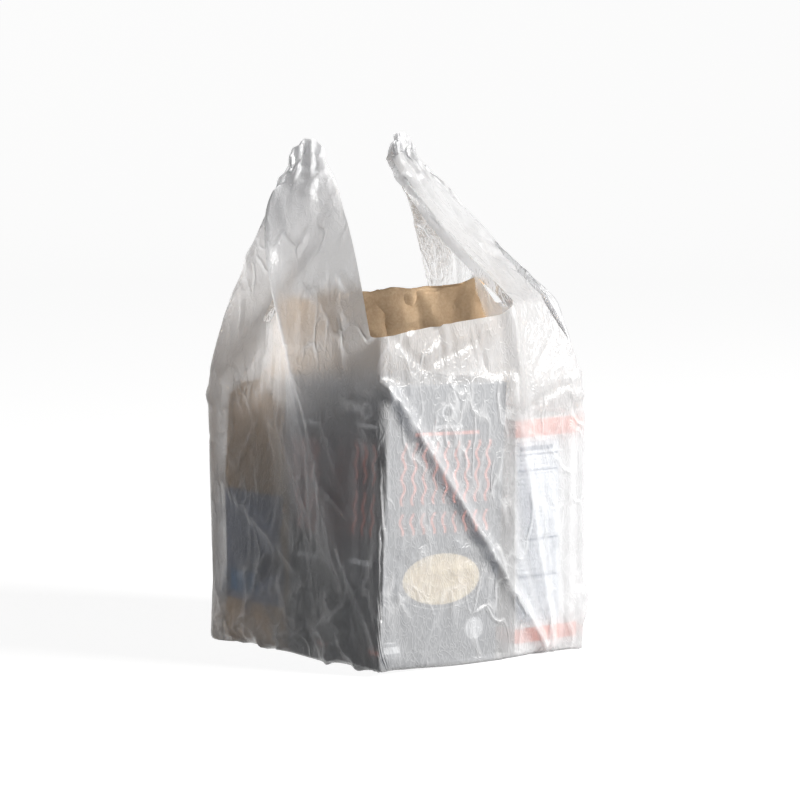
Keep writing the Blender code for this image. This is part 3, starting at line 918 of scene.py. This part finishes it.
def white_print(n, u, v, w, front, side):
    bands = n.top(n.band(v, 0.0755, 0.0885), n.band(v, -0.0800, -0.0690))
    panel = n.rect(u, v, -0.0285, 0.0120, -0.0640, 0.0715)
    colour = n.blend(bands, (0.83, 0.83, 0.84, 1), (0.86, 0.42, 0.36, 1))
    colour = n.blend(n.mul(panel, front), colour, (0.74, 0.77, 0.82, 1))
    lines = n.mul(rules(n, u, v, -0.0270, 0.0370, 0.0036, 0.0010), n.band(v, -0.060, 0.060))
    bars = n.top(*[n.band(v, at - 0.0007, at + 0.0007) for at in (0.062, 0.050, -0.002, -0.030)])
    bars = n.top(bars, n.mul(n.band(v, 0.0650, 0.0685), n.band(u, -0.026, 0.006)))
    bars = n.mul(bars, n.band(u, -0.0275, 0.0110))
    colour = n.blend(n.mul(n.mul(lines, front), 0.5), colour, (0.20, 0.23, 0.30, 1))
    colour = n.blend(n.mul(n.mul(bars, front), 0.85), colour, (0.12, 0.16, 0.24, 1))
    rim = n.sub(n.rect(u, v, -0.0290, 0.0125, -0.0645, 0.0720), panel)
    return n.blend(n.mul(n.mul(rim, front), 0.6), colour, (0.20, 0.23, 0.30, 1))


def kraft_material():
    made, n, out = new_material("kraft_paper")
    place = n.node("ShaderNodeTexCoord").outputs["Object"]
    axes = n.node("ShaderNodeSeparateXYZ", {0: place})
    y, z = axes.outputs[1], axes.outputs[2]
    fibre = n.noise(place, 520.0, 3.0, 0.6)
    cloud = n.noise(place, 24.0, 3.0)
    colour = n.blend(n.ramp(fibre, 0.3, 0.7), (0.47, 0.325, 0.195, 1), (0.57, 0.42, 0.275, 1))
    colour = n.blend(n.ramp(cloud, 0.35, 0.70, 0.0, 0.35), colour, (0.42, 0.28, 0.16, 1))
    creases = crease_lines(n, place, 26.0, 0.05)
    colour = n.blend(n.mul(creases, 0.10), colour, (0.66, 0.52, 0.36, 1))
    normal = n.node("ShaderNodeNewGeometry").outputs["Normal"]
    left = n.math("GREATER_THAN", n.dot(normal, (-1, 0, 0)), 0.5)
    label = n.mul(n.rect(y, z, 0.004, 0.094, 0.034, 0.119), left)
    tilt = n.add(z, n.mul(y, 0.36))
    dark = n.band(tilt, 0.068, 0.086)
    blue = n.rect(y, z, 0.050, 0.086, 0.040, 0.056)
    label_colour = n.blend(n.ramp(cloud, 0.3, 0.7), (0.17, 0.20, 0.29, 1), (0.24, 0.27, 0.36, 1))
    label_colour = n.blend(n.mul(dark, 0.9), label_colour, (0.045, 0.050, 0.075, 1))
    label_colour = n.blend(blue, label_colour, (0.08, 0.22, 0.42, 1))
    spots = n.top(n.inside(n.reach(y, z, 0.020, 0.052), 0.0022), n.inside(n.reach(y, z, 0.013, 0.050), 0.0018))
    label_colour = n.blend(spots, label_colour, PALE)
    colour = n.blend(label, colour, label_colour)
    height = n.add(n.mul(creases, 0.12), n.add(n.mul(fibre, 0.12), n.mul(n.noise(place, 60.0, 3.0), 0.9)))
    bump = n.node("ShaderNodeBump", {"Strength": 0.6, "Distance": 0.0014, "Height": height}).outputs[0]
    shader = n.node("ShaderNodeBsdfPrincipled", {
        "Base Color": colour, "Roughness": 0.82, "Specular IOR Level": 0.25, "Normal": bump})
    n.put(out.inputs[0], shader.outputs[0])
    return made


sack.data.materials.append(kraft_material())
for name, carton, paint, rough in (
    ("noodle_carton_front", CARTONS[0], noodle_print, 0.46),
    ("noodle_carton_rear", CARTONS[1], noodle_print, 0.46),
    ("white_carton", CARTONS[2], white_print, 0.42),
):
    carton_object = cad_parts[name]
    carton_object.data.materials.clear()
    carton_object.data.materials.append(card(name + "_print", carton, paint, rough))

# ------------------------------------------------------------------ floor, light, camera
FLOOR_FLAT, BEND_RADIUS, WALL_HEIGHT, TURNS = 3.6, 1.4, 6.0, 48


def studio_floor():
    """A flat round floor that curves up into a wall all round."""
    profile = [(FLOOR_FLAT / 6 * i, 0.0) for i in range(1, 7)]
    for angle in np.linspace(0, math.pi / 2, 13)[1:]:
        profile.append((FLOOR_FLAT + BEND_RADIUS * math.sin(angle), BEND_RADIUS * (1 - math.cos(angle))))
    profile.append((FLOOR_FLAT + BEND_RADIUS, WALL_HEIGHT))
    bowl = bmesh.new()
    centre = bowl.verts.new((0, 0, 0))
    loops = [[
        bowl.verts.new((radius * math.cos(2 * math.pi * i / TURNS), radius * math.sin(2 * math.pi * i / TURNS), height))
        for i in range(TURNS)] for radius, height in profile]
    for i in range(TURNS):
        after = (i + 1) % TURNS
        bowl.faces.new((centre, loops[0][i], loops[0][after]))
        for inner, outer in zip(loops, loops[1:]):
            bowl.faces.new((inner[i], outer[i], outer[after], inner[after]))
    for face in bowl.faces:
        face.smooth = True
    mesh = bpy.data.meshes.new("floor")
    bowl.to_mesh(mesh)
    bowl.free()
    made, n, out = new_material("floor")
    shader = n.node("ShaderNodeBsdfPrincipled", {
        "Base Color": (0.22, 0.22, 0.22, 1), "Roughness": 0.9, "Specular IOR Level": 0.0,
        "Emission Color": (1, 1, 1, 1), "Emission Strength": 0.93})
    n.put(out.inputs[0], shader.outputs[0])
    made.cycles.emission_sampling = "NONE"
    mesh.materials.append(made)
    floor = bpy.data.objects.new("floor", mesh)
    bpy.context.scene.collection.objects.link(floor)
    floor.visible_diffuse = False
    return floor


studio_floor()

# the room: dim at the left and in front, bright behind the bag and above
world = bpy.data.worlds.new("studio")
bpy.context.scene.world = world
world.use_nodes = True
room = Nodes(world.node_tree)
backdrop = world.node_tree.nodes["Background"]
way = room.node("ShaderNodeTexCoord").outputs["Generated"]
behind = room.math("MAXIMUM", room.dot(way, (0.60, 0.72, 0.34)), 0.0)
above = room.math("MAXIMUM", room.dot(way, (0.0, 0.0, 1.0)), 0.0)
room.put(backdrop.inputs["Strength"], room.add(room.add(0.26, room.mul(behind, 0.95)), room.mul(above, 0.45)))


def area_light(name, place, aim, size, power, colour=(1, 1, 1)):
    data = bpy.data.lights.new(name, "AREA")
    data.shape = "RECTANGLE"
    data.size, data.size_y = size
    data.energy = power
    data.color = colour
    made = bpy.data.objects.new(name, data)
    made.location = place
    made.rotation_euler = (Vector(aim) - Vector(place)).to_track_quat("-Z", "Y").to_euler()
    bpy.context.scene.collection.objects.link(made)
    return made


area_light("key", (1.1, -1.7, 1.1), (0, 0, 0.18), (0.7, 0.9), 98, (1.0, 0.99, 0.97))

CAMERA_AZIMUTH = math.radians(-37.6)
CAMERA_ELEVATION = math.radians(6.5)
CAMERA_AWAY = 2.6
AIM = Vector((0.00775, 0.0, 0.187))
back = Vector((
    math.sin(CAMERA_AZIMUTH) * math.cos(CAMERA_ELEVATION),
    -math.cos(CAMERA_AZIMUTH) * math.cos(CAMERA_ELEVATION),
    math.sin(CAMERA_ELEVATION)))
camera_data = bpy.data.cameras.new("camera")
camera_data.sensor_width = 36
camera_data.lens = 3411 / 800 * 36
camera = bpy.data.objects.new("camera", camera_data)
camera.location = AIM + back * CAMERA_AWAY
camera.rotation_euler = (-back).to_track_quat("-Z", "Y").to_euler()
bpy.context.scene.collection.objects.link(camera)
bpy.context.scene.camera = camera
bpy.context.scene.view_settings.view_transform = "Standard"

bpy.context.view_layer.update()
